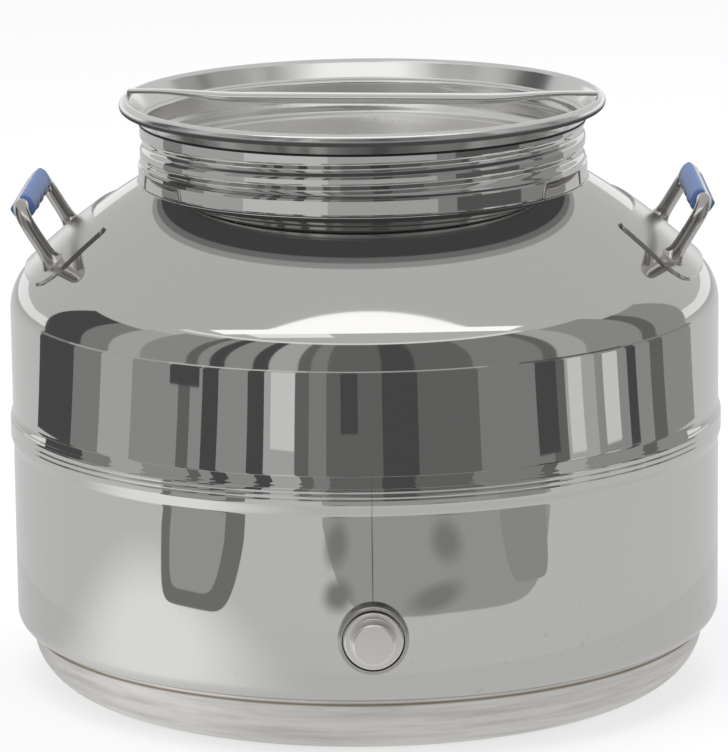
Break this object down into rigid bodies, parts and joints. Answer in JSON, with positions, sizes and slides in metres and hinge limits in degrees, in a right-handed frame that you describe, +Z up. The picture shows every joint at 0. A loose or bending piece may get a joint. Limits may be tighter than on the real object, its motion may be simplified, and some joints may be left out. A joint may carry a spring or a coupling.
{
  "type": "stainless steel drum",
  "caption": "Squat stainless steel drum with a screw-in pan lid, a bar across the lid, two fixed handles with plastic grips and a plugged tap port near the base",
  "frame": {"origin": "on the drum's axis, in the plane of the ring that it stands on", "axes": "+Z up along the drum's axis, the tap port faces -Y, the handles stand at +X and -X"},
  "size_m": [0.3525, 0.3645, 0.2922],
  "materials": {
    "mirror_steel": "mirror-polished stainless steel sheet",
    "bright_steel": "drawn and polished stainless steel rod",
    "satin_steel": "satin stainless steel with fine handling scuffs",
    "blue_plastic": "smooth moulded polypropylene",
    "dark_rubber": "matt moulded rubber"
  },
  "bodies": {
    "drum": {"base_pan": "satin_steel", "body_wall": "mirror_steel", "shoulder": "mirror_steel", "neck_ring": "mirror_steel", "handle_left": "bright_steel", "handle_right": "bright_steel", "handle_pad_left": "mirror_steel", "handle_pad_right": "mirror_steel", "grip_left": "blue_plastic", "grip_right": "blue_plastic", "tap_ferrule": "satin_steel"},
    "seal": {"lid_gasket": "dark_rubber"},
    "lid": {"lid_pan": "mirror_steel", "lid_bar": "mirror_steel"},
    "washer": {"tap_washer": "dark_rubber"},
    "plug": {"tap_plug": "satin_steel"}
  },
  "joints": [
    {"name": "lid_lift", "type": "slide", "parent": "drum", "child": "seal", "axis": [0, 0, 1], "range_m": [0, 0.0176]},
    {"name": "lid_turn", "type": "hinge", "parent": "seal", "child": "lid", "pos_m": [0, 0, 0.28], "axis": [0, 0, 1], "range_deg": [0, 630]},
    {"name": "plug_travel", "type": "slide", "parent": "drum", "child": "washer", "axis": [0, -1, 0], "range_m": [0, 0.0091]},
    {"name": "plug_turn", "type": "hinge", "parent": "washer", "child": "plug", "pos_m": [0, -0.18, 0.062], "axis": [0, -1, 0], "range_deg": [0, 1800]}
  ],
  "couplings": [
    {"joint": "lid_lift", "follows": "lid_turn", "m_per_rad": 0.0015915},
    {"joint": "plug_travel", "follows": "plug_turn", "m_per_rad": 0.00028871}
  ]
}
